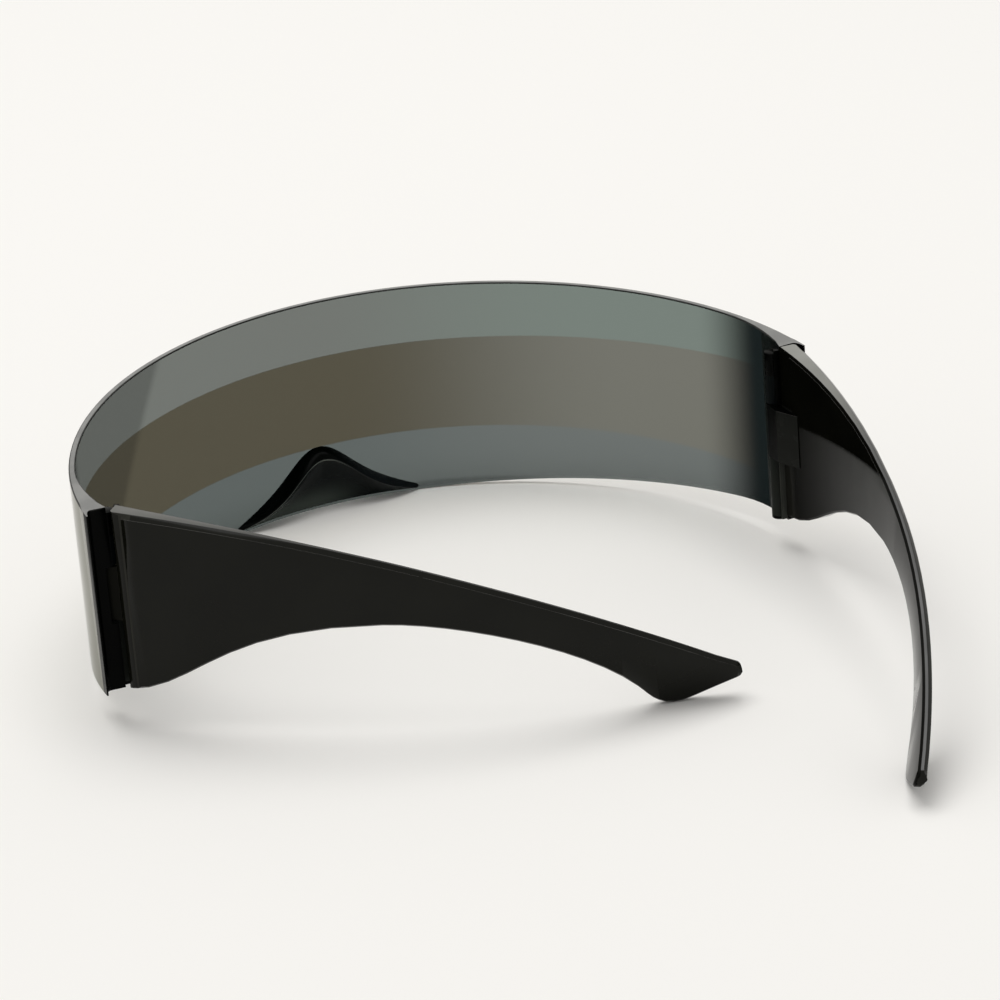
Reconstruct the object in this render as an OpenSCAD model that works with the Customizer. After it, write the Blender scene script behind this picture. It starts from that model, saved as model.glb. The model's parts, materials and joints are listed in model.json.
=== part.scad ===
// Wrap-round shield sunglasses: one curved lens, a nose saddle, two temples on pinned hinges.
// Millimetres. The wearer looks along -Y, +X is the wearer's left, the floor is z = 0.
// The origin is the middle of the lens's bottom edge, half way through its wall.

/* [Lens] */
// Radius of the outer face round the front
lens_front_r = 67.5; // [60:0.5:80]
// Turn of the front arc, from the centre to one side, in degrees
lens_front_angle = 24.5; // [20:0.5:30]
// Radius of the outer face along the side
lens_side_r = 73; // [65:0.5:85]
// Turn of the side arc, in degrees
lens_side_angle = 22.5; // [18:0.5:28]
// Radius of the outer face near the hinge
lens_end_r = 80.5; // [70:0.5:95]
// Turn of the end arc, in degrees
lens_end_angle = 38.5; // [33:0.5:41]
// Wall of the lens
lens_wall = 1.3; // [1.2:0.1:2.2]
// Wall of the lens at the hinge
lens_end_wall = 4.2; // [4.1:0.1:4.6]
// Length over which the wall grows to that
lens_thicken_run = 18; // [12:1:30]
// Height at the centre
lens_height = 43.9; // [38:0.1:50]
// Height at the hinge
lens_end_height = 36.3; // [33:0.1:40]
// Height of the bottom corner at the hinge above the floor
lens_end_lift = 6.6; // [5:0.1:8]
// Depth of the flat that the lens stands on
rest_flat_depth = 3; // [2.5:0.1:4]
// Length of the thin lip that laps the front of the temple
lip_length = 2.4; // [1.6:0.1:3]
// Thickness at the tip of the lip
lip_tip = 0.3; // [0.2:0.05:0.6]
// Breadth of the rounded step inside the lip
lip_step = 1.1; // [0.8:0.05:1.6]

/* [Nose saddle] */
// Half of the width across the feet
nose_half_width = 20; // [16:0.5:24]
// Height of the saddle's crown
nose_height = 13.8; // [11:0.1:16]
// Rounding of the crown
nose_crown_r = 6; // [4:0.5:8]
// Slope of the flanks, in degrees
nose_flank_angle = 40; // [38:1:44]
// Slope where the feet end, in degrees
nose_foot_angle = 29; // [26:1:32]
// Reach of the saddle behind the inner face of the lens
nose_depth = 5.1; // [4:0.1:7]
// Thickness of the saddle's sheet
nose_wall = 1.1; // [0.9:0.1:1.6]
// Height of the saddle's foot above the floor
nose_lift = 0.5; // [0.3:0.1:1]

/* [Temples] */
// Length along the outer face
temple_length = 114.7; // [105:0.1:125]
// Plan radius of the front half
temple_front_r = 259; // [210:1:320]
// Plan radius of the rear half
temple_rear_r = 156; // [140:1:200]
// Thickness at the hinge
temple_front_wall = 4.3; // [4:0.1:4.5]
// Thickness along the rear
temple_wall = 1.8; // [1.6:0.1:2.6]
// Length over which the thickness falls to that
temple_thin_run = 50; // [35:1:60]
// Height of the top edge at the tip
temple_tip_z = 6.5; // [5:0.1:9]
// Height of the bottom corner at the hinge
temple_toe_z = 7.4; // [6:0.1:9]
// Height of the underside at its waist
temple_waist_z = 21.5; // [18:0.5:24]
// Inward lean of the tip, in millimetres for each millimetre of height
temple_lean_share = 0.37; // [0:0.01:0.45]
// Chamfer along the outer top edge
temple_bevel = 0.8; // [0.5:0.1:1.1]
// Chamfer along the other edges
temple_edge = 0.45; // [0.3:0.05:0.6]

/* [Hinges] */
// Distance of the pin's axis from the outer face of the lens
hinge_in = 4.7; // [4.6:0.05:5]
// Distance of the axis ahead of the end of the lens
hinge_ahead = 2.2; // [2.1:0.05:2.4]
// Radius of the knuckles
knuckle_r = 1.5; // [1.4:0.05:1.6]
// Radius of the pin
pin_r = 0.6; // [0.45:0.05:0.7]
// Height of the temple's knuckle
mid_knuckle_h = 10.8; // [8:0.2:13]
// Height of its centre above the floor
mid_knuckle_z = 25.3; // [23:0.1:27]
// Height of the upper knuckle on the lens
top_knuckle_h = 6.2; // [5:0.2:8]
// Fold of the wearer's left temple in the photographed pose, in degrees
left_fold = 53.3; // [0:0.1:80]
// Fold of the wearer's right temple in the photographed pose, in degrees
right_fold = 6.5; // [0:0.1:70]

/* [Hidden] */
$fn = 48;

// Clearances: at the seam, round the turning knuckle, in the bores and under the bonded saddle
seam_gap = 0.2;
swing_gap = 0.25;
bore_gap = 0.05;
bond_gap = 0.05;
// One overrun for every cut
over = 1;

// Plan of the lens: three arcs a side, told by the distance along the outer face
turn = PI / 180;
front_run = lens_front_r * lens_front_angle * turn;
side_run = lens_side_r * lens_side_angle * turn;
end_run = lens_end_r * lens_end_angle * turn;
half_run = front_run + side_run + end_run;
end_heading = lens_front_angle + lens_side_angle + lens_end_angle;
lens_steps = 36;

function along(h) = [cos(h), sin(h)];
function inward(h) = [-sin(h), cos(h)];
function arc_step(r, h0, h1) = r * [sin(h1) - sin(h0), cos(h0) - cos(h1)];
function lens_heading(s) =
    s < front_run ? s / lens_front_r / turn
    : s < front_run + side_run ? lens_front_angle + (s - front_run) / lens_side_r / turn
    : lens_front_angle + lens_side_angle + (s - front_run - side_run) / lens_end_r / turn;
front_start = [0, -lens_wall / 2];
side_start = front_start + arc_step(lens_front_r, 0, lens_front_angle);
end_start = side_start + arc_step(lens_side_r, lens_front_angle, lens_front_angle + lens_side_angle);
function lens_outer(s) = let (h = lens_heading(s))
    s < front_run ? front_start + arc_step(lens_front_r, 0, h)
    : s < front_run + side_run ? side_start + arc_step(lens_side_r, lens_front_angle, h)
    : end_start + arc_step(lens_end_r, lens_front_angle + lens_side_angle, h);
function thicken(s) = pow(max(0, 1 - (half_run - s) / lens_thicken_run), 1.5);
function wall_at(s) = lens_wall + (lens_end_wall - lens_wall) * thicken(s);
function lens_inner(s) = lens_outer(s) + wall_at(s) * inward(lens_heading(s));
lens_end = lens_outer(half_run);
lens_top_end_z = lens_end_lift + lens_end_height;

// The hinge's own frame: origin on the pin's axis, x outwards, y back along the lens's end
hinge_at = lens_end + hinge_in * inward(end_heading) - hinge_ahead * along(end_heading);
mid_low_z = mid_knuckle_z - mid_knuckle_h / 2;
mid_high_z = mid_knuckle_z + mid_knuckle_h / 2;
knuckle_gap = seam_gap;
pad_run = 3.2 * knuckle_r;
pin_low_z = lens_end_lift + pin_r;
pin_high_z = mid_high_z + top_knuckle_h - knuckle_r;

module at_hinge(side) {
    mirror([side < 0 ? 1 : 0, 0, 0])
        translate([hinge_at.x, hinge_at.y, 0]) rotate(end_heading - 90) children();
}

// The seam between lens and temple, from the lip's tip round to the inner face
function seam(gap) = concat(
    [for (i = [0:8]) let (a = 90 - 90 * i / 8)
        [hinge_in - lip_tip - lip_step + (lip_step - gap) * sin(a),
         hinge_ahead + lip_length - (lip_length - gap) * cos(a)]],
    [[hinge_in - lens_end_wall - over, hinge_ahead + gap]]);

// Lens
module lens_plan() {
    half = [for (i = [0:lens_steps]) half_run * i / lens_steps];
    outer = [for (s = half) lens_outer(s)];
    inner = [for (i = [lens_steps:-1:0]) lens_inner(half[i])];
    polygon(concat(outer, inner));
    mirror([1, 0]) polygon(concat(outer, inner));
}

module lip_plan() {
    polygon(concat(
        [[hinge_in, hinge_ahead - lip_step], [hinge_in, hinge_ahead + lip_length]],
        [for (p = seam(0)) if (p.x > hinge_in - lens_end_wall) p],
        [[hinge_in - lens_end_wall + lip_tip, hinge_ahead],
         [hinge_in - lens_end_wall + lip_tip, hinge_ahead - lip_step]]));
}

// Side view of the lens, y across and z up, cut straight from the flat to the hinge
module lens_side() {
    reach = lens_end.y + lip_length;
    slope = lens_end_lift / (lens_end.y - rest_flat_depth);
    fall = (lens_height - lens_top_end_z) / lens_end.y;
    polygon([[-lens_wall, 0], [rest_flat_depth, 0],
        [reach + over, slope * (reach + over - rest_flat_depth)],
        [reach + over, lens_height - fall * (reach + over)],
        [-lens_wall, lens_height + fall * lens_wall]]);
}

module knuckle(low, high, root) {
    translate([0, 0, low]) linear_extrude(high - low) {
        circle(knuckle_r);
        polygon(root);
    }
}

// Root of a lens knuckle: it runs forward and dies into the inner face
function from_hinge(p) = let (d = p - hinge_at) [-d * inward(end_heading), d * along(end_heading)];
root_end = from_hinge(lens_inner(half_run - hinge_ahead - pad_run));
lens_root = [[-knuckle_r, 0], root_end, root_end + [knuckle_r / 2, 0], [knuckle_r, 0]];
lower_knuckle_z = lens_end_lift + knuckle_r / 2;

module pin_bore(low, high) {
    translate([0, 0, low]) cylinder(r = pin_r + bore_gap, h = high - low);
}

// Room in the lens for the turning knuckle and the tongue that carries it
module swing_slot() {
    translate([0, 0, mid_low_z - knuckle_gap]) linear_extrude(mid_knuckle_h + 2 * knuckle_gap) {
        circle(knuckle_r + swing_gap);
        translate([-lens_end_wall, 0])
            square([lens_end_wall + knuckle_r + swing_gap, hinge_ahead + over]);
    }
}

module lens() {
    color([0.33, 0.36, 0.37, 0.6]) difference() {
        union() {
            intersection() {
                union() {
                    linear_extrude(lens_height + over) lens_plan();
                    for (side = [-1, 1]) at_hinge(side) linear_extrude(lens_height) lip_plan();
                }
                rotate([90, 0, 90]) translate([0, 0, -2 * lens_side_r])
                    linear_extrude(4 * lens_side_r) lens_side();
            }
            for (side = [-1, 1]) at_hinge(side) {
                knuckle(lower_knuckle_z, mid_low_z - knuckle_gap, lens_root);
                knuckle(mid_high_z + knuckle_gap, mid_high_z + top_knuckle_h, lens_root);
            }
        }
        for (side = [-1, 1]) at_hinge(side) {
            swing_slot();
            pin_bore(0, pin_high_z + knuckle_gap);
        }
    }
}

// Nose saddle: a bell-shaped bridge with a scooped underside, bonded inside the lens
flank_x = nose_crown_r * sin(nose_flank_angle);
flank_z = nose_height - nose_crown_r * (1 - cos(nose_flank_angle));
foot_r = (nose_half_width - flank_x) / (sin(nose_flank_angle) - sin(nose_foot_angle));
saddle_back = lens_wall / 2 + nose_depth;
saddle_steps = 8;

// Right half of the bell, drawn in by a thickness, from the crown to the foot
function bell(t) = concat(
    [for (i = [0:saddle_steps]) let (a = nose_flank_angle * i / saddle_steps)
        [(nose_crown_r - t) * sin(a), nose_height - nose_crown_r + (nose_crown_r - t) * cos(a)]],
    [for (i = [1:saddle_steps])
        let (a = nose_flank_angle + (nose_foot_angle - nose_flank_angle) * i / saddle_steps)
        [flank_x + foot_r * (sin(nose_flank_angle) - sin(a)) - t * sin(a),
         flank_z - foot_r * (cos(a) - cos(nose_flank_angle)) - t * cos(a)]]);

module bell_plan(t, low) {
    half = bell(t);
    last = half[len(half) - 1];
    flat = [for (p = half) if (p.y > low) p];
    foot = [last.x, low];
    left = [for (i = [len(flat) - 1:-1:0]) [-flat[i].x, flat[i].y]];
    polygon(concat(flat, [foot, [-foot.x, foot.y]], left));
}

module nose_saddle() {
    color([0.05, 0.06, 0.06]) difference() {
        intersection() {
            translate([0, saddle_back, 0]) rotate([90, 0, 0])
                linear_extrude(saddle_back) bell_plan(0, nose_lift);
            translate([0, lens_front_r - lens_wall / 2, 0])
                cylinder(r = lens_front_r - lens_wall - bond_gap, h = 2 * nose_height, $fn = 240);
        }
        translate([0, saddle_back, 0]) rotate([90, 0, 0])
            linear_extrude(nose_depth, scale = [0.8, 0.12], slices = saddle_steps) bell_plan(nose_wall, -nose_wall);
    }
}

// Temple, in the hinge's frame and fully open: a plate lofted along two plan arcs
temple_half = temple_length / 2;
mid_turn = temple_half / temple_front_r / turn;
function temple_turn(t) =
    t < temple_half ? t / temple_front_r / turn : mid_turn + (t - temple_half) / temple_rear_r / turn;
function bow(r, a0, a1) = r * [cos(a1) - cos(a0), sin(a1) - sin(a0)];
temple_start = [hinge_in, hinge_ahead];
temple_mid = temple_start + bow(temple_front_r, 0, mid_turn);
function temple_outer(t) =
    t < temple_half ? temple_start + bow(temple_front_r, 0, temple_turn(t))
    : temple_mid + bow(temple_rear_r, mid_turn, temple_turn(t));
function temple_thin(t) =
    temple_wall + (temple_front_wall - temple_wall) * pow(max(0, 1 - t / temple_thin_run), 2);

// Shares of the top edge's fall that go with the length, its square and its cube
fall_shares = [0.25, 0.66, 0.09];
function temple_top(t) = let (w = t / temple_length)
    lens_top_end_z - (lens_top_end_z - temple_tip_z) * (fall_shares * [w, w * w, w * w * w]);

// The underside is two curves, hinge to waist and waist to heel, then the cut up to the tip.
// Each row holds the shares of length and height of a curve's four handles.
rise_shares = [[0, 0], [0.12, 0.05], [0.16, 1], [0.43, 1]];
dip_shares = [[0.43, 1], [0.55, 1], [0.737, 0.71], [0.83, 0.215]];
heel_shares = [[0.83, 0.215], [0.85, 0.11], [0.868, -0.085], [0.925, 0.04]];
function curve(p, u) = let (v = 1 - u)
    v * v * v * p[0] + 3 * v * v * u * p[1] + 3 * v * u * u * p[2] + u * u * u * p[3];
rise_steps = 9;
dip_steps = 12;
heel_steps = 8;
rise = [for (i = [0:rise_steps]) let (p = curve(rise_shares, i / rise_steps))
    [p.x * temple_length, temple_toe_z + p.y * (temple_waist_z - temple_toe_z)]];
dip = [for (i = [1:dip_steps]) let (p = curve(dip_shares, i / dip_steps))
    [p.x * temple_length, p.y * temple_waist_z]];
heel = [for (i = [1:heel_steps]) let (p = curve(heel_shares, i / heel_steps))
    [p.x * temple_length, max(0, p.y * temple_waist_z)]];

// The tip: the heel's cut and the top edge close on a rounded end
tip_r = 1.9;
tip_cut_angle = 24;
cut_start = heel[heel_steps - 1];
tip_centre = [temple_length - tip_r, temple_top(temple_length - tip_r) - tip_r * 1.1];
tip_steps = 6;
cut_steps = 2;
cut_end = tip_centre + tip_r * [sin(tip_cut_angle), -cos(tip_cut_angle)];
cut = [for (i = [1:cut_steps]) cut_start + i / cut_steps * (cut_end - cut_start)];
tip = [for (i = [1:tip_steps]) let (a = tip_cut_angle + (84 - tip_cut_angle) * i / tip_steps)
    [tip_centre.x + tip_r * sin(a), tip_centre.y - tip_r * cos(a)]];
underside = concat(rise, dip, heel, cut, tip);

// Upper edge over each station of the underside, rounded off with the tip
function top_over(p) = let (back = max(0, p.x - tip_centre.x))
    back > 0 ? tip_centre.y + sqrt(max(0, tip_r * tip_r - back * back)) * 1.1 : temple_top(p.x);

// One section of the loft: eight corners, outer top round to inner top
function section(p) = let (
    h = 90 + temple_turn(p.x),
    at = temple_outer(p.x),
    n = [cos(h + 90), sin(h + 90)],
    low = p.y,
    high = top_over(p),
    thin = temple_thin(p.x),
    tall = high - low,
    lean = temple_lean_share * pow(p.x / temple_length, 3),
    b = min(temple_bevel, thin / 2.2, tall / 4),
    e = min(temple_edge, thin / 4, tall / 4))
    [for (c = [[b, high], [0, high - b], [0, low + e], [e, low],
               [thin - e, low], [thin, low + e], [thin, high - e], [thin - e, high]])
        let (q = at + (c[0] + lean * (high - c[1])) * n) [q.x, q.y, c[1]]];

module loft(rings) {
    count = len(rings[0]);
    last = len(rings) - 1;
    points = [for (r = rings) for (p = r) p];
    walls = [for (i = [0:last - 1]) for (j = [0:count - 1])
        let (k = (j + 1) % count, a = i * count, b = a + count)
        each [[a + j, b + k, a + k], [a + j, b + j, b + k]]];
    near = [for (j = [1:count - 2]) [0, j, j + 1]];
    far = [for (j = [1:count - 2]) [last * count, last * count + j + 1, last * count + j]];
    polyhedron(points, concat(walls, near, far));
}

// Root of the temple's knuckle: a tongue forward to the axis and a pad on the inner face
tongue_back = hinge_ahead + seam_gap + knuckle_r;
temple_root = [[knuckle_r, 0], [-knuckle_r, 0], [-knuckle_r, tongue_back],
    [hinge_in - temple_front_wall + knuckle_r / 4, tongue_back + pad_run], [knuckle_r, tongue_back]];

module temple() {
    difference() {
        union() {
            difference() {
                loft([for (p = underside) section(p)]);
                translate([0, 0, -over]) linear_extrude(lens_height + 2 * over)
                    polygon(concat([[hinge_in + over, hinge_ahead + lip_length + seam_gap],
                        [hinge_in - lip_tip - seam_gap, hinge_ahead + lip_length + seam_gap]],
                        seam(seam_gap),
                        [[hinge_in - lens_end_wall - over, -over], [hinge_in + over, -over]]));
            }
            knuckle(mid_low_z, mid_high_z, temple_root);
        }
        pin_bore(mid_low_z - over, mid_high_z + over);
    }
}

module left_temple() {
    color([0.06, 0.06, 0.06]) at_hinge(1) rotate(left_fold) temple();
}

module right_temple() {
    color([0.06, 0.06, 0.06]) at_hinge(-1) rotate(right_fold) temple();
}

module hinge_pin() {
    translate([0, 0, pin_low_z]) cylinder(r = pin_r, h = pin_high_z - pin_low_z);
}

module left_hinge_pin() {
    color([0.7, 0.7, 0.72]) at_hinge(1) hinge_pin();
}

module right_hinge_pin() {
    color([0.7, 0.7, 0.72]) at_hinge(-1) hinge_pin();
}

lens();
nose_saddle();
left_temple();
right_temple();
left_hinge_pin();
right_hinge_pin();
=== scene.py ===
import json
from math import cos, pi, radians, sin, sqrt

import bmesh
import bpy
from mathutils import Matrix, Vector


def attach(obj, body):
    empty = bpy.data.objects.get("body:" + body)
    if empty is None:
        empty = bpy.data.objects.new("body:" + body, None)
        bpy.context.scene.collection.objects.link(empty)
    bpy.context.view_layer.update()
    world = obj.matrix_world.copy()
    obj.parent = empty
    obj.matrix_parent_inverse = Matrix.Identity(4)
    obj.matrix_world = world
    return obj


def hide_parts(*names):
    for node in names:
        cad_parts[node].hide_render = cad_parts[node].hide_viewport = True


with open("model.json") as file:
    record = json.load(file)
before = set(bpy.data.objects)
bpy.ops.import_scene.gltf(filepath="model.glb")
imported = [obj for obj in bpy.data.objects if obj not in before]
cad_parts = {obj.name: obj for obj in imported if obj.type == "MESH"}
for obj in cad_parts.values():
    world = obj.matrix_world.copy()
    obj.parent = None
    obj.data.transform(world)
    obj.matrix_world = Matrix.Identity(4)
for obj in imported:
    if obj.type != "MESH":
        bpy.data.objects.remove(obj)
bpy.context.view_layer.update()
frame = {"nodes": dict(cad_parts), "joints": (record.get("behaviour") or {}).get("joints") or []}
scene = bpy.context.scene
scene.view_settings.view_transform = "Standard"
print("frame loaded")


# Shader helpers
def newMaterial(name):
    material = bpy.data.materials.new(name)
    material.use_nodes = True
    tree = material.node_tree
    return material, tree, tree.nodes["Principled BSDF"]


def setInput(tree, node, socket, value):  # a socket is given by its name or its number
    if isinstance(value, bpy.types.NodeSocket):
        tree.links.new(value, node.inputs[socket])
    else:
        node.inputs[socket].default_value = value


def addNode(tree, kind, inputs=None):
    node = tree.nodes.new("ShaderNode" + kind)
    for socket, value in (inputs or {}).items():
        setInput(tree, node, socket, value)
    return node


def mathOf(tree, operation, *values):
    node = addNode(tree, "Math", dict(enumerate(values)))
    node.operation = operation
    return node.outputs[0]


def mixColour(tree, factor, a, b):
    node = tree.nodes.new("ShaderNodeMix")
    node.data_type = "RGBA"
    for socket, value in ((0, factor), (6, a), (7, b)):  # the sockets of its colour mode
        setInput(tree, node, socket, value)
    return node.outputs[2]


def mixShaders(tree, factor, a, b):
    return addNode(tree, "MixShader", {0: factor, 1: a.outputs[0], 2: b.outputs[0]}).outputs[0]


def placeOf(tree):
    return addNode(tree, "TexCoord").outputs["Object"]


def axesOf(tree):
    return addNode(tree, "SeparateXYZ", {0: placeOf(tree)}).outputs


def startGroup(name, given, made):
    group = bpy.data.node_groups.new(name, "ShaderNodeTree")
    for direction, sockets in (("INPUT", given), ("OUTPUT", made)):
        for socket, kind in sockets.items():
            group.interface.new_socket(socket, in_out=direction, socket_type="NodeSocket" + kind)
    return group, group.nodes.new("NodeGroupInput").outputs, group.nodes.new("NodeGroupOutput").inputs


def placeGroup(tree, group, values):
    node = tree.nodes.new("ShaderNodeGroup")
    node.node_tree = group
    for socket, value in values.items():
        node.inputs[socket].default_value = value
    return node.outputs


def rampOf(tree, value, start, end):
    ramp = addNode(tree, "MapRange", {"Value": value, "From Min": start, "From Max": end})
    ramp.interpolation_type = "SMOOTHSTEP"
    return ramp.outputs[0]


def rampsOf(tree, along, ramps):
    share = 1
    for axis, start, end in ramps:
        share = mathOf(tree, "MULTIPLY", share, rampOf(tree, along[axis], start, end))
    return share


# Zones of the lens's colour and of shade painted on it: a band across the middle, painted lighter on one
# side as shade, dark at the hinges
bandZone = {
    "Low": 0.0131, "High": 0.0322,  # at the centre
    "Spread": 0.00127, "Top Spread": 0.0034,  # how far its edges part from that at the hinges
    "Soft": 0.00025,  # width of the blend at its edges
    "Depth": 0.0685,  # from the front to the hinge line
    "Fade From": 0.0430, "Fade To": 0.0620, "Fade Power": 2.7,  # where the lens darkens towards the hinge
    "Light From": 0.0040, "Light To": -0.0570,  # painted shade: darker towards the wearer's left, lighter towards the right
    # painted shade at the far left, its edge slanting with the height, and a painted shadow along the foot
    # beside the saddle
    "Deep From": 0.0345, "Deep To": 0.0375, "Deep Lean": 0.59, "Top": 0.0439,
    "Foot From": -0.0460, "Foot To": -0.0360, "Foot High": 0.0022, "Foot Low": 0.0012,
}


def makeBandGroup():
    made = {name: "Float" for name in ("Band", "Upper", "Clear", "Light", "Deep", "Foot")}
    group, given, result = startGroup("bandAcross", {name: "Float" for name in bandZone}, made)
    place = axesOf(group)
    reach = mathOf(group, "DIVIDE", place["Y"], given["Depth"])
    drop = mathOf(group, "MULTIPLY", reach, given["Spread"])
    overLow = mathOf(group, "SUBTRACT", place["Z"], mathOf(group, "SUBTRACT", given["Low"], drop))
    rise = mathOf(group, "MULTIPLY", mathOf(group, "POWER", reach, 2), given["Top Spread"])
    underHigh = mathOf(group, "SUBTRACT", mathOf(group, "ADD", given["High"], rise), place["Z"])
    inside = mathOf(group, "DIVIDE", mathOf(group, "MINIMUM", overLow, underHigh), given["Soft"])
    band = addNode(group, "Clamp", {"Value": mathOf(group, "ADD", inside, 0.5)})
    group.links.new(band.outputs[0], result["Band"])
    group.links.new(mathOf(group, "GREATER_THAN", place["Z"], given["High"]), result["Upper"])
    # painted shade at the far left, with an edge that slants with the height
    lean = mathOf(group, "MULTIPLY", mathOf(group, "SUBTRACT", place["Z"], given["Top"]), given["Deep Lean"])
    for name, along in (("Light", place["X"]), ("Deep", mathOf(group, "ADD", place["X"], lean))):
        group.links.new(rampOf(group, along, given[name + " From"], given[name + " To"]), result[name])
    clear = rampOf(group, place["Y"], given["Fade To"], given["Fade From"])
    group.links.new(mathOf(group, "POWER", clear, given["Fade Power"]), result["Clear"])
    # painted shadow along the foot beside the saddle
    beside = rampOf(group, place["X"], given["Foot From"], given["Foot To"])
    below = rampOf(group, place["Z"], given["Foot High"], given["Foot Low"])
    group.links.new(mathOf(group, "MULTIPLY", beside, below), result["Foot"])
    return group


lensTintAndShade = {  # each pair runs from the wearer's left to the right, the left one painted darker as shade
    "upper": ((0.0320, 0.0375, 0.0340, 1), (0.0390, 0.0570, 0.0490, 1)),
    "lower": ((0.0150, 0.0205, 0.0205, 1), (0.0275, 0.0345, 0.0345, 1)),
    "band": ((0.0095, 0.0082, 0.0044, 1), (0.0345, 0.0358, 0.0285, 1)),
    "deep": 0.55, "foot": 0.5,  # shares of the painted shade there
    "hinge": (0.00012, 0.00025, 0.00028, 1),
    "ior": 1.0,  # the wall is too thin to bend light that shows
    "mirrored": 0.85,  # share of darkening where another piece mirrors the lens
}


def lensColour(tree):
    zones = placeGroup(tree, bandGroup, bandZone)
    # painted shade: the lens darkens towards the wearer's left
    light = zones["Light"]
    lower, upper = (mixColour(tree, light, *lensTintAndShade[name]) for name in ("lower", "upper"))
    smoke = mixColour(tree, zones["Upper"], lower, upper)
    late = mathOf(tree, "POWER", light, 2)  # painted shade: the band's middle stays dark longer
    shadedTint = mixColour(tree, zones["Band"], smoke, mixColour(tree, late, *lensTintAndShade["band"]))
    # painted shade at the far left and painted shadow along the foot
    for name in ("Deep", "Foot"):
        darker = mathOf(tree, "MULTIPLY", zones[name], lensTintAndShade[name.lower()])
        shadedTint = mixColour(tree, darker, shadedTint, lensTintAndShade["hinge"])
    shadedTint = mixColour(tree, zones["Clear"], lensTintAndShade["hinge"], shadedTint)
    mirrored = addNode(tree, "LightPath").outputs["Is Glossy Ray"]
    return mixColour(tree, mathOf(tree, "MULTIPLY", mirrored, lensTintAndShade["mirrored"]), shadedTint, lensTintAndShade["hinge"])


def makeLensInside():
    material, tree, shader = newMaterial("lensInside")
    tree.links.new(lensColour(tree), shader.inputs["Base Color"])
    shader.inputs["Roughness"].default_value = 0
    shader.inputs["IOR"].default_value = lensTintAndShade["ior"]
    shader.inputs["Transmission Weight"].default_value = 1
    return material


# Grain of a moulded surface: broad clouds, which vary the colour and polish, and a fine relief
grainForm = {
    "cloudDetail": 3, "cloudLow": 0.35, "cloudHigh": 0.65,  # the noise values between which the clouds blend
    "fineTimes": 22, "fineDetail": 2,  # how many times finer the relief is
    "depth": 0.00002,  # of the relief
}


def makeGrainGroup():
    given = {name: "Float" for name in ("Scale", "Smooth", "Rough")}
    made = {"Mask": "Float", "Roughness": "Float", "Height": "Float"}
    group, given, result = startGroup("mouldedGrain", given, made)
    place = placeOf(group)
    clouds = addNode(group, "TexNoise", {"Vector": place, "Scale": given["Scale"],
                                         "Detail": grainForm["cloudDetail"]}).outputs["Fac"]
    mask = rampOf(group, clouds, grainForm["cloudLow"], grainForm["cloudHigh"])
    group.links.new(mask, result["Mask"])
    gap = mathOf(group, "SUBTRACT", given["Rough"], given["Smooth"])
    polish = mathOf(group, "ADD", given["Smooth"], mathOf(group, "MULTIPLY", mask, gap))
    group.links.new(polish, result["Roughness"])
    fine = mathOf(group, "MULTIPLY", given["Scale"], grainForm["fineTimes"])
    relief = addNode(group, "TexNoise", {"Vector": place, "Scale": fine, "Detail": grainForm["fineDetail"]})
    group.links.new(relief.outputs["Fac"], result["Height"])
    return group


def giveGrain(tree, shader, finish):
    grain = placeGroup(tree, grainGroup, {"Scale": finish["grain"], "Smooth": finish["polish"][0],
                                          "Rough": finish["polish"][1]})
    tree.links.new(grain["Roughness"], shader.inputs["Roughness"])
    relief = addNode(tree, "Bump", {"Height": grain["Height"], "Strength": finish["relief"],
                                    "Distance": grainForm["depth"]})
    tree.links.new(relief.outputs[0], shader.inputs["Normal"])
    colour = mixColour(tree, grain["Mask"], *finish["colours"])
    if "far" in finish:
        colour = mixColour(tree, rampsOf(tree, axesOf(tree), finish["ramps"]), colour, finish["far"])
    tree.links.new(colour, shader.inputs["Base Color"])
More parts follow.
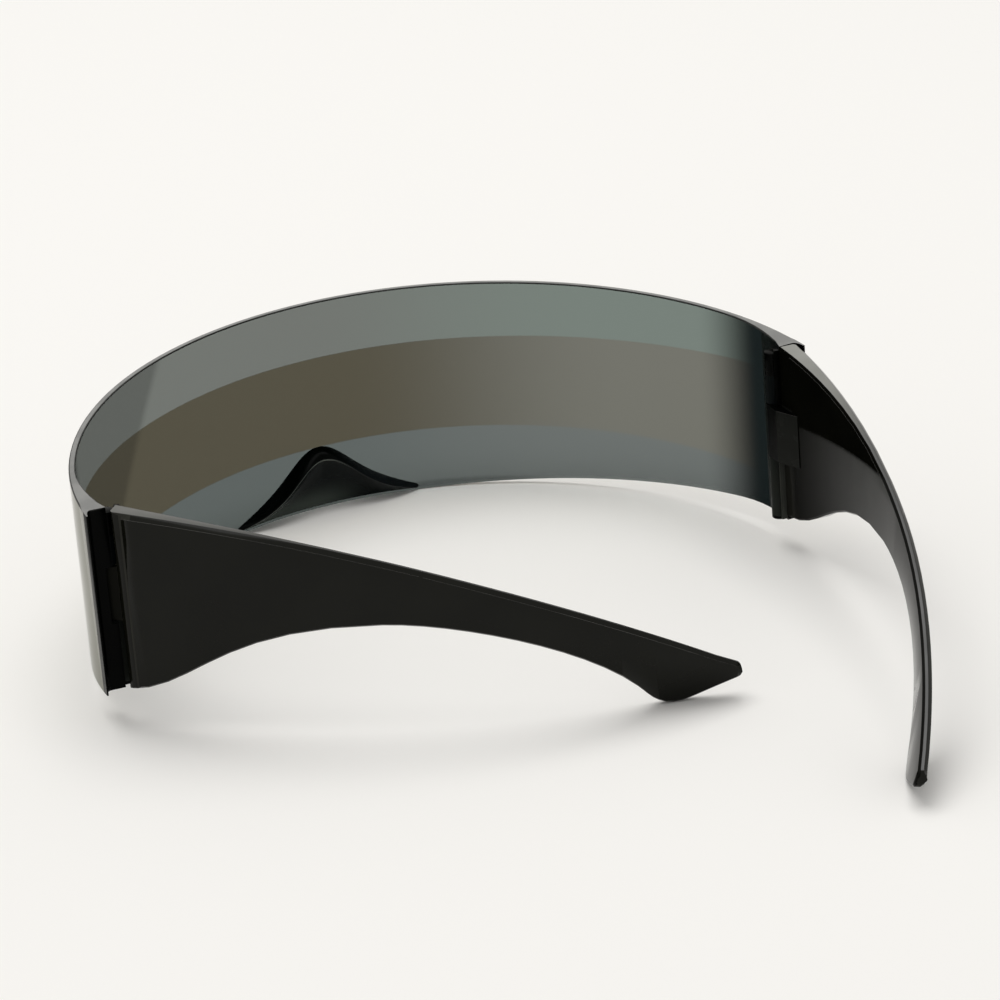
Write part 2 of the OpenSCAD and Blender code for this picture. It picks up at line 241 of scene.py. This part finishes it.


# colours: the two that the grain blends; polish: least and most roughness; grain: its scale; relief: its
# strength; far: the colour at the end of the ramps, each along one axis, multiplied together, which paint
# light and shade on a piece; coatRamps: the same for a clear coat, also along a slope that climbs by
# coatLean
finishes = {
    "lensEdge": {
        "colours": ((0.205, 0.205, 0.195, 1), (0.165, 0.165, 0.158, 1)), "polish": (0.38, 0.5),
        "specular": 0.5, "grain": 180, "relief": 0.15},
    # painted shade: the chamfers on both sides of the lens's top edge are painted dark
    "lensChamferShade": {
        "colours": ((0.006, 0.007, 0.006, 1), (0.010, 0.011, 0.010, 1)), "polish": (0.2, 0.3),
        "specular": 0.15, "grain": 180, "relief": 0.1},
    # the hinge end, near black: partly its own dark plastic and partly painted shade of the hinge recess, a
    # little lighter towards the front
    "lensRootBlackAndShade": {
        "colours": ((0.0006, 0.0008, 0.0006, 1), (0.0012, 0.0014, 0.0012, 1)), "polish": (0.2, 0.3),
        "specular": 0.03, "grain": 220, "relief": 0.1,
        "far": (0.010, 0.013, 0.012, 1), "ramps": (("Y", 0.0690, 0.0640),)},
    # painted shade: the knuckles are darker high in the hinge recess, lighter towards the bottom
    "knuckle": {
        "colours": ((0.0020, 0.0032, 0.0034, 1), (0.0028, 0.0042, 0.0044, 1)), "polish": (0.3, 0.4),
        "specular": 0.03, "grain": 220, "relief": 0.1,
        "far": (0.016, 0.018, 0.015, 1), "ramps": (("Z", 0.030, 0.010),)},
    "templeOuter": {
        "colours": ((0.0042, 0.0044, 0.0028, 1), (0.0056, 0.0058, 0.0038, 1)), "polish": (0.09, 0.14),
        "specular": 0.13, "grain": 60, "relief": 0.06},
    # painted light: a lighter patch low on the inner face by the hinge; and the clear coat only towards the
    # back and below a slanted line, which paints a reflection's dark patch near the hinge top
    "templeInner": {
        "colours": ((0.0020, 0.0021, 0.0014, 1), (0.0030, 0.0031, 0.0022, 1)), "polish": (0.05, 0.08),
        "specular": 0, "grain": 60, "relief": 0.06,
        "far": (0.012, 0.012, 0.010, 1), "ramps": (("Y", 0.0755, 0.0735), ("Z", 0.031, 0.026)),
        "coatIor": 1.12, "coatLean": 0.14, "coatRamps": (("Y", 0.062, 0.098), ("Lean", 0.0182, 0.0171))},
    # painted light: the rebate's step is lighter than the temple's black, lifting the shade in its groove
    "templeStepLit": {
        "colours": ((0.020, 0.020, 0.016, 1), (0.024, 0.024, 0.019, 1)), "polish": (0.3, 0.4),
        "specular": 0.1, "grain": 220, "relief": 0.1},
    # painted shade: the tongue is near black where the hinge slot lies in shade, lighter on the left temple
    "templeTongueShade": {
        "colours": ((0.0004, 0.0005, 0.0004, 1), (0.0008, 0.0009, 0.0008, 1)), "polish": (0.3, 0.4),
        "specular": 0.02, "grain": 220, "relief": 0.1,
        "far": (0.0130, 0.0130, 0.0105, 1), "ramps": (("X", -0.01, 0.01),)},
    # painted shade: the lips are near black, lighter only low on the right temple
    "templeLipShade": {
        "colours": ((0.0008, 0.0009, 0.0008, 1), (0.0012, 0.0013, 0.0012, 1)), "polish": (0.3, 0.4),
        "specular": 0.03, "grain": 220, "relief": 0.1,
        "far": (0.036, 0.038, 0.033, 1), "ramps": (("Z", 0.030, 0.016), ("X", 0.01, -0.01))},
    # painted light: the root is lighter than the temple's black, lifting the shade at the hinge
    "templeRootLit": {
        "colours": ((0.0080, 0.0086, 0.0070, 1), (0.0100, 0.0106, 0.0090, 1)), "polish": (0.2, 0.3),
        "specular": 0.04, "grain": 220, "relief": 0.1},
    "templeLine": {
        "colours": ((0.0060, 0.0058, 0.0050, 1), (0.0090, 0.0088, 0.0080, 1)), "polish": (0.15, 0.25),
        "specular": 0.2, "grain": 120, "relief": 0.1},
    "templeGlint": {
        "colours": ((0.105, 0.102, 0.094, 1), (0.080, 0.078, 0.072, 1)), "polish": (0.2, 0.3),
        "specular": 0.5, "grain": 120, "relief": 0.1,
        "far": (0.030, 0.030, 0.026, 1), "ramps": (("Y", 0.130, 0.165),)},
    # painted highlight: the temples' top faces are painted bright, as they mirror the light above, brighter
    # on the right temple and fading towards the tips
    "leftRim": {
        "colours": ((0.114, 0.114, 0.104, 1), (0.094, 0.094, 0.085, 1)), "polish": (0.28, 0.4),
        "specular": 0.3, "grain": 90, "relief": 0.1,
        "far": (0.010, 0.010, 0.009, 1), "ramps": (("Y", 0.070, 0.102),)},
    "rightRim": {
        "colours": ((0.25, 0.25, 0.225, 1), (0.21, 0.21, 0.188, 1)), "polish": (0.28, 0.4),
        "specular": 0.5, "grain": 90, "relief": 0.1,
        "far": (0.012, 0.012, 0.011, 1), "ramps": (("Y", 0.072, 0.125),)},
    # painted light: the strap is near black, lighter towards the wearer's right
    "saddleStrapShaded": {
        "colours": ((0.0004, 0.0009, 0.0006, 1), (0.0008, 0.0014, 0.0012, 1)), "polish": (0.16, 0.24),
        "specular": 0.02, "grain": 160, "relief": 0.1,
        "far": (0.0060, 0.0075, 0.0080, 1), "ramps": (("X", 0.001, -0.009),)},
    # painted highlight along the ridge, fading out towards the wearer's right
    "saddleRidgeHighlight": {
        "colours": ((0.080, 0.090, 0.080, 1), (0.060, 0.070, 0.062, 1)), "polish": (0.2, 0.3),
        "specular": 0.15, "grain": 160, "relief": 0.1,
        "far": (0.0040, 0.0055, 0.0055, 1), "ramps": (("X", 0.002, -0.006),)},
    # painted reflection: the hollow is painted lighter low down and towards the wearer's left, as it mirrors
    # the floor
    "saddleHollowReflection": {
        "colours": ((0.0018, 0.0034, 0.0032, 1), (0.0028, 0.0046, 0.0044, 1)), "polish": (0.18, 0.26),
        "specular": 0.10, "grain": 160, "relief": 0.1,
        "far": (0.060, 0.072, 0.062, 1),
        "ramps": (("Z", 0.0080, 0.0004), ("Z", 0.0080, 0.0004), ("X", -0.010, 0.004))},
}


def makePlastic(name):
    finish = finishes[name]
    material, tree, shader = newMaterial(name)
    giveGrain(tree, shader, finish)
    shader.inputs["Specular IOR Level"].default_value = finish["specular"]
    if "coatRamps" in finish:
        place = axesOf(tree)
        climb = mathOf(tree, "MULTIPLY", place["Y"], finish["coatLean"])
        along = {"Y": place["Y"], "Lean": mathOf(tree, "SUBTRACT", place["Z"], climb)}
        tree.links.new(rampsOf(tree, along, finish["coatRamps"]), shader.inputs["Coat Weight"])
        shader.inputs["Coat Roughness"].default_value = finish["polish"][0]
        shader.inputs["Coat IOR"].default_value = finish["coatIor"]
    return material


# The outer face is a mirror from outside, and plain clear plastic to light that comes from within
mirrorFinish = {
    "colours": ((0.38, 0.38, 0.355, 1), (0.35, 0.35, 0.325, 1)), "polish": (0.07, 0.12),
    "grain": 40, "relief": 0.02, "grazing": (0.55, 0.55, 0.52, 1),
}


def makeLensMirror():
    material, tree, shader = newMaterial("lensMirror")
    giveGrain(tree, shader, mirrorFinish)
    shader.inputs["Metallic"].default_value = 1
    shader.inputs["Specular Tint"].default_value = mirrorFinish["grazing"]
    clear = addNode(tree, "BsdfPrincipled", {"Base Color": (1, 1, 1, 1), "Transmission Weight": 1,
                                             "Roughness": 0, "IOR": lensTintAndShade["ior"]})
    within = addNode(tree, "NewGeometry").outputs["Backfacing"]
    tree.links.new(mixShaders(tree, within, shader, clear), tree.nodes["Material Output"].inputs["Surface"])
    return material


# The polished foot of the lens throws back the light that reaches it from within
footFinish = {
    "colours": ((0.90, 0.90, 0.88, 1), (0.86, 0.86, 0.84, 1)), "polish": (0.0, 0.02),
    "grain": 40, "relief": 0.01,
}
pinFinish = {
    "colours": ((0.62, 0.62, 0.64, 1), (0.50, 0.50, 0.52, 1)), "polish": (0.22, 0.38),
    "grain": 900, "relief": 0.2,
}


def makeMetal(name, finish):
    material, tree, shader = newMaterial(name)
    giveGrain(tree, shader, finish)
    shader.inputs["Metallic"].default_value = 1
    return material


bandGroup = makeBandGroup()
grainGroup = makeGrainGroup()
plastic = {name: makePlastic(name) for name in finishes}
plastic["lensInside"] = makeLensInside()
plastic["lensMirror"] = makeLensMirror()
plastic["lensFoot"] = makeMetal("lensFoot", footFinish)
pinSteel = makeMetal("pinSteel", pinFinish)
print("materials made")


# Distances and angles that all the mesh work shares
meshLimits = {
    "cadMerge": 0.000002, "merge": 0.000001, "sliver": 0.00001,  # metres
    "flat": 0.2, "sharp": 35, "smooth": 30,  # degrees
}


# A CAD node's copy: merged, and its flats joined
def mergedCopy(node):
    bm = bmesh.new()
    bm.from_mesh(frame["nodes"][node].data)
    bmesh.ops.remove_doubles(bm, verts=bm.verts[:], dist=meshLimits["cadMerge"])
    bmesh.ops.dissolve_limit(bm, angle_limit=radians(meshLimits["flat"]), verts=bm.verts[:],
                             edges=bm.edges[:])
    return bm


def sharpEdges(bm, angle):
    return [e for e in bm.edges if len(e.link_faces) == 2 and e.calc_face_angle() > radians(angle)]


def closeUp(bm):
    bmesh.ops.remove_doubles(bm, verts=bm.verts[:], dist=meshLimits["merge"])
    bmesh.ops.recalc_face_normals(bm, faces=bm.faces[:])


def cutAcross(bm, place, normal):
    bmesh.ops.bisect_plane(bm, geom=bm.verts[:] + bm.edges[:] + bm.faces[:], plane_co=place, plane_no=normal)


def roundEdges(bm, radius, segments, shortest, wanted, clamp=True):
    sharp = [e for e in sharpEdges(bm, meshLimits["sharp"]) if e.calc_length() > shortest and wanted(e)]
    made = bmesh.ops.bevel(bm, geom=sharp, affect="EDGES", offset=radius, segments=segments, profile=0.5,
                           material=-1, clamp_overlap=clamp)
    bm.normal_update()
    return set(made["faces"])


def finishPiece(bm, name, body, finishNames, replaced=(), smooth=meshLimits["smooth"]):
    bmesh.ops.dissolve_degenerate(bm, dist=meshLimits["sliver"], edges=bm.edges[:])
    mesh = bpy.data.meshes.new(name)
    bm.to_mesh(mesh)
    bm.free()
    for finishName in finishNames:
        mesh.materials.append(plastic[finishName])
    mesh.shade_smooth()
    mesh.set_sharp_from_angle(angle=radians(smooth))
    piece = bpy.data.objects.new(name, mesh)
    scene.collection.objects.link(piece)
    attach(piece, body)
    if replaced:
        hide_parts(*replaced)
    return piece


# How far each temple is folded at rest, and its hinge pin's place
def foldOf(side):
    joint = next(j for j in frame["joints"] if j["name"] == side + "_fold")
    return radians(-joint["range_deg"][0]), Vector(joint["pos_m"])


# Lens: clear inside, mirror outside, a satin top edge between two chamfers painted dark as shade, and a
# polished foot
lensForm = {
    "chamfer": 0.00025, "segments": 2, "shortest": 0.0008, "topFrom": 0.0427,
    "uprightOver": 0.5,  # an upright edge climbs by more than this share of its length
    "focus": (0, 0.045, 0), "outFrom": 0.6,  # the outer faces look away from here, by this cosine or more
    "upFrom": 0.5,  # and the top and foot look up and down by this
    "middle": 0.024, "edgeFrom": 0.0155,  # height, and how far above it the top faces start
    "footUnder": 0.0066,  # and below here a downward face is the foot
    "rootFrom": 0.0640,  # behind here only the outer face keeps its mirror
    "lipFrom": 0.0707,  # and behind here neither does that
    "knuckle": 0.0019,  # radius of the knuckles about the hinge pins
}


def makeLens():
    form = lensForm
    bm = mergedCopy("lens")

    def isTop(edge):
        return min(v.co.z for v in edge.verts) > form["topFrom"]

    def isUpright(edge):
        run = edge.verts[0].co - edge.verts[1].co
        return abs(run.z) > form["uprightOver"] * run.length

    # held to a hair's width by the clamp, this steadies the corners of the chamfers
    roundEdges(bm, form["chamfer"], form["segments"], form["shortest"], isUpright)
    chamfers = roundEdges(bm, form["chamfer"], form["segments"], form["shortest"], isTop, clamp=False)
    cutAcross(bm, (0, form["lipFrom"], 0), (0, 1, 0))
    names = ("lensInside", "lensMirror", "lensEdge", "lensChamferShade", "lensRootBlackAndShade", "knuckle", "lensFoot")
    axes = [foldOf(side)[1] for side in ("left", "right")]
    for face in bm.faces:
        centre, normal = face.calc_center_median(), face.normal
        outward = centre - Vector(form["focus"])
        outward.z = 0
        atEdge = centre.z - form["middle"] > form["edgeFrom"]
        finish = "lensInside"
        if min((centre - axis).to_2d().length for axis in axes) < form["knuckle"]:
            finish = "knuckle"
        elif face in chamfers:
            finish = "lensChamferShade"
        elif atEdge and normal.z > form["upFrom"]:
            finish = "lensEdge"
        elif normal.z < -form["upFrom"] and centre.z < form["footUnder"]:
            finish = "lensFoot"
        elif normal.dot(outward.normalized()) > form["outFrom"] and centre.y < form["lipFrom"]:
            finish = "lensMirror"
        elif centre.y > form["rootFrom"]:
            finish = "lensRootBlackAndShade"
        face.material_index = names.index(finish)
    return finishPiece(bm, "lensShield", "front", names, ["lens"])


# Temples: outer and inner faces, a top face painted bright as a highlight between two rounded edges that
# carry a painted glint, and the hinge root with shade and light painted on it.
# A reach is a level distance from the hinge pin.
templeForm = {
    "edge": 0.00045, "segments": 3, "shortest": 0.0008, "seamReach": 0.0040,  # rounded behind this reach
    "longUnder": 0.6,  # a long edge climbs by less than this share of its length
    "rootReach": 0.0090, "rootLow": 0.0195, "rootHigh": 0.0312, "rootCut": 0.0311,  # root's reach, heights
    "tongueReach": 0.0045, "stepFrom": 0.0059, "stepTo": 0.0066,  # other parts near the hinge, by reach
    "tipFrom": 0.1132, "tipPull": 0.5,  # the tip's last stretch, and what is left of its length
    "noseEdge": 0.00022, "noseSegments": 2,  # the upright edge in front
    "noseFrom": 0.0042, "noseTo": 0.0043, "noseLow": 0.0310,  # its reach, and its foot above the root
    "outFrom": -0.5, "rootUnder": 0.5,  # cosines against outward, of the outer face and of the root
    "glintFrom": 0.15, "lineFrom": 0.5, "rimFrom": 0.8,  # and against upward, on the edges and on top
    "rimAbove": 0.005,
}


def makeTemple(side):
    form = templeForm
    sign = 1 if side == "left" else -1
    fold, axis = foldOf(side)
    outward = Vector((sign * cos(fold), sin(fold), 0))
    bm = mergedCopy(side + "_temple")

    def reach(point):
        return (point - axis).to_2d().length

    for vert in bm.verts:
        past = reach(vert.co) - form["tipFrom"]
        if past > 0:
            back = (vert.co - axis).to_2d().normalized() * past * (1 - form["tipPull"])
            vert.co -= back.to_3d()

    def isLong(edge):
        run = edge.verts[0].co - edge.verts[1].co
        isFlat = abs(run.z) < form["longUnder"] * run.length
        return isFlat and min(reach(v.co) for v in edge.verts) > form["seamReach"]

    def isNose(edge):
        beside = all(form["noseFrom"] < reach(v.co) < form["noseTo"] for v in edge.verts)
        return beside and min(v.co.z for v in edge.verts) > form["noseLow"]

    cutAcross(bm, (0, 0, form["rootCut"]), (0, 0, 1))
    noses = roundEdges(bm, form["noseEdge"], form["noseSegments"], form["shortest"], isNose)
    rounds = roundEdges(bm, form["edge"], form["segments"], form["shortest"], isLong)
    names = ("templeOuter", "templeInner", side + "Rim", "templeLine", "templeGlint", "templeRootLit",
             "templeTongueShade", "templeStepLit")
    for face in bm.faces:
        centre, normal = face.calc_center_median(), face.normal
        facing = normal.dot(outward)
        finish = "templeOuter" if facing > form["outFrom"] else "templeInner"
        heights = [v.co.z for v in face.verts]
        between = form["rootLow"] < min(heights) and max(heights) < form["rootHigh"]
        inRoot = between and reach(centre) < form["rootReach"]
        if face in noses:
            finish = "templeGlint"
        elif inRoot and reach(centre) < form["tongueReach"]:
            finish = "templeTongueShade"
        elif face in rounds and normal.z > form["glintFrom"]:
            finish = "templeLine" if normal.z > form["lineFrom"] else "templeGlint"
        elif inRoot and facing < form["rootUnder"]:
            finish = "templeRootLit"
        elif normal.z > form["rimFrom"] and centre.z > form["rimAbove"]:
            finish = side + "Rim"
        elif form["stepFrom"] < reach(centre) < form["stepTo"] and facing > 0:
            finish = "templeStepLit"
        face.material_index = names.index(finish)
    return finishPiece(bm, side + "Temple", side + "_temple", names, [side + "_temple"])


# Lip of each temple that hugs the knuckles, so no light shows between them as the temple folds
lipForm = {
    "inner": 0.00165, "outer": 0.00262,  # distances from the pin
    "heights": ((0.0072, 0.0196), (0.0310, 0.0424)),  # below and above the temple's own knuckle
    "start": 15.2, "sweep": 24, "steps": 6,  # degrees from straight back, with the temple open
}


def makeLip(side):
    form = lipForm
    sign = 1 if side == "left" else -1
    fold, axis = foldOf(side)
    start = radians(form["start"]) - fold
    bm = bmesh.new()
    inner, outer = form["inner"], form["outer"]
    for low, high in form["heights"]:
        ring = [bm.verts.new((axis.x + sign * r * sin(start), axis.y + r * cos(start), z))
                for r, z in ((inner, low), (outer, low), (outer, high), (inner, high))]
        face = bm.faces.new(ring)
        bmesh.ops.spin(bm, geom=[face], cent=(axis.x, axis.y, 0), axis=(0, 0, 1), dvec=(0, 0, 0),
                       angle=sign * radians(form["sweep"]), steps=form["steps"], use_duplicate=False)
    closeUp(bm)
    return finishPiece(bm, side + "TempleLip", side + "_temple", ("templeLipShade",))


# Barrels above and below the knuckles of the lens, painted near black as the shade of the hinge recess
barrelForm = {
    "radius": 0.0015, "heights": ((0.0067, 0.0076), (0.0365, 0.0414)), "around": 48,
    "edge": 0.0002, "segments": 3, "rimAngle": 60,
}


def makeBarrel(side):
    form = barrelForm
    axis = foldOf(side)[1]
    bm = bmesh.new()
    for low, high in form["heights"]:
        made = bmesh.ops.create_cone(bm, cap_ends=True, segments=form["around"], radius1=form["radius"],
                                     radius2=form["radius"], depth=high - low)
        bmesh.ops.translate(bm, verts=made["verts"], vec=(axis.x, axis.y, (low + high) / 2))
    bmesh.ops.bevel(bm, geom=sharpEdges(bm, form["rimAngle"]), affect="EDGES", offset=form["edge"],
                    segments=form["segments"], profile=0.5, material=-1)
    return finishPiece(bm, side + "Barrels", "front", ("lensRootBlackAndShade",))


# Nose saddle: a strap that slopes back from the lens to a thin ridge, and a hollow under it, with painted
# light and shade on each
saddleForm = {
    "centre": 0.0014, "halfWidth": 0.0200, "height": 0.0132,
    "spread": 0.0100, "flank": 2.15, "tuck": 0.0012,  # the bell curve of its top, and its drop at the ends
    "lensRadius": 0.0662, "lensCentre": 0.06685, "bond": 0.00005,  # the lens's inner face, and the gap to it
    "ridgeDepth": 0.0029, "ridgeSwell": 0.0014, "ridgeProud": 0.000075,  # how far the ridge stands back
    "ridgeDrop": 0.0006, "crownDrop": 0.0011,  # and how far it lies below the top
    "ridgeWidth": 0.00030, "ridgeBulge": (0.6, -0.5), "ridgeUnder": (-0.5, -1),  # its round, in widths
    "slope": 0.62, "hollow": (0.25, 0.55),  # pull on the strap's and the hollow's curves, in depths
    "lift": 0.0006, "lip": 0.0004, "closeFrom": 0.999, "smooth": 60,
    "across": 96, "around": 32,  # faces
    "ends": (0.30, 0.40, 0.86, 0.90),  # of the strap, ridge, hollow and lip, round the section
}


def curve(a, b, c, t):
    return a.lerp(b, t).lerp(b.lerp(c, t), t)


def shareOf(value, start, end):
    return (value - start) / (end - start)


def saddlePoint(across, around):
    form = saddleForm
    t = abs(across)
    x = t * form["halfWidth"]
    width = form["ridgeWidth"]
    top = form["height"] / (1 + (x / form["spread"]) ** form["flank"]) - form["tuck"] * t ** 3
    depth = form["ridgeDepth"] * (1 - t ** 3) + form["ridgeSwell"] * sin(pi * t) + form["ridgeProud"]
    ridge = max(top - form["ridgeDrop"] - form["crownDrop"] * (1 - t), form["lift"] + width)
    root = Vector((form["bond"], max(top, ridge + width)))
    edge = Vector((depth, ridge))
    under = edge + Vector(form["ridgeUnder"]) * width
    lip = Vector((form["lip"], form["lift"]))
    foot = Vector((form["bond"], form["lift"]))
    strapEnd, ridgeEnd, hollowEnd, lipEnd = form["ends"]
    if around < strapEnd:
        at = curve(root, Vector((form["slope"] * depth, root.y)), edge, around / strapEnd)
    elif around < ridgeEnd:
        bulge = edge + Vector(form["ridgeBulge"]) * width
        at = curve(edge, bulge, under, shareOf(around, strapEnd, ridgeEnd))
    elif around < hollowEnd:
        deep = Vector((form["hollow"][0] * depth, form["hollow"][1] * under.y))
        at = curve(under, deep, lip, shareOf(around, ridgeEnd, hollowEnd))
    elif around < lipEnd:
        at = lip.lerp(foot, shareOf(around, hollowEnd, lipEnd))
    else:
        at = foot.lerp(root, shareOf(around, lipEnd, 1))
    if t > form["closeFrom"]:  # the feet close in a point
        at = (root + foot) / 2
    place = across * form["halfWidth"] + form["centre"]
    return Vector((place, form["lensCentre"] - sqrt(form["lensRadius"] ** 2 - place ** 2) + at.x, at.y))


def makeSaddle():
    form = saddleForm
    bm = bmesh.new()
    bmesh.ops.create_grid(bm, x_segments=form["across"], y_segments=form["around"], size=1)
    strapEnd, ridgeEnd = form["ends"][:2]
    for face in bm.faces:
        around = (face.calc_center_median().y + 1) / 2
        face.material_index = 0 if around < strapEnd else 1 if around < ridgeEnd else 2
    for vert in bm.verts:
        vert.co = saddlePoint(vert.co.x, (vert.co.y + 1) / 2)
    closeUp(bm)
    return finishPiece(bm, "noseSaddle", "front", ("saddleStrapShaded", "saddleRidgeHighlight", "saddleHollowReflection"),
                       ["nose_saddle"], form["smooth"])


makeLens()
makeSaddle()
for side in ("left", "right"):
    makeTemple(side)
    makeLip(side)
    makeBarrel(side)
    pin = frame["nodes"][side + "_hinge_pin"]
    pin.data.materials.clear()
    pin.data.materials.append(pinSteel)
print("pieces made")


# Floor, light and camera
studio = {
    "paper": (0.922, 0.905, 0.870, 1), "paperRough": 0.9, "paperSpecular": 0.1,
    "floorSize": 12, "floorDrop": 0.00005,  # so that the lens's foot and the paper aren't one plane
    "fill": 0.51,
    "softbox": {"size": 1.6, "place": (0.05, -0.2, 1.7), "aim": (0, 0.08, 0), "watts": 19.5},
}


def makeFloor():
    bm = bmesh.new()
    bmesh.ops.create_grid(bm, x_segments=1, y_segments=1, size=studio["floorSize"] / 2)
    bmesh.ops.translate(bm, verts=bm.verts[:], vec=(0, 0, -studio["floorDrop"]))
    mesh = bpy.data.meshes.new("floor")
    bm.to_mesh(mesh)
    bm.free()
    material, _, shader = newMaterial("floorPaper")
    shader.inputs["Base Color"].default_value = studio["paper"]
    shader.inputs["Roughness"].default_value = studio["paperRough"]
    shader.inputs["Specular IOR Level"].default_value = studio["paperSpecular"]
    mesh.materials.append(material)
    floor = bpy.data.objects.new("floor", mesh)
    scene.collection.objects.link(floor)


def makeWorld():
    world = bpy.data.worlds.new("studio")
    scene.world = world
    world.use_nodes = True
    tree = world.node_tree
    light = tree.nodes["Background"]
    light.inputs["Color"].default_value = (1, 1, 1, 1)
    light.inputs["Strength"].default_value = studio["fill"]
    seen = addNode(tree, "Background", {"Color": studio["paper"], "Strength": 1})
    rays = addNode(tree, "LightPath").outputs
    direct = mathOf(tree, "ADD", rays["Is Camera Ray"], rays["Is Glossy Ray"])
    share = mathOf(tree, "MINIMUM", mathOf(tree, "ADD", direct, rays["Is Transmission Ray"]), 1)
    tree.links.new(mixShaders(tree, share, light, seen), tree.nodes["World Output"].inputs["Surface"])


def makeSoftbox(name, box):
    data = bpy.data.lights.new(name, "AREA")
    data.shape = "SQUARE"
    data.size = box["size"]
    data.energy = box["watts"]
    lamp = bpy.data.objects.new(name, data)
    lamp.location = box["place"]
    lamp.rotation_euler = (Vector(box["aim"]) - Vector(box["place"])).to_track_quat("-Z", "Y").to_euler()
    scene.collection.objects.link(lamp)


# The photograph's own camera, solved from the edges of the lens and temples
viewpoint = {
    "place": (0.293131, 0.812037, 0.377863),
    "turn": (66.1657, 4.0837, 156.0491),  # degrees
    "focal": 167.657, "sensor": 36,  # millimetres
}


def makeCamera():
    data = bpy.data.cameras.new("camera")
    data.lens = viewpoint["focal"]
    data.sensor_width = viewpoint["sensor"]
    camera = bpy.data.objects.new("camera", data)
    camera.location = viewpoint["place"]
    camera.rotation_euler = [radians(a) for a in viewpoint["turn"]]
    scene.collection.objects.link(camera)
    scene.camera = camera


makeFloor()
makeWorld()
makeSoftbox("softbox", studio["softbox"])
makeCamera()
print("studio made")
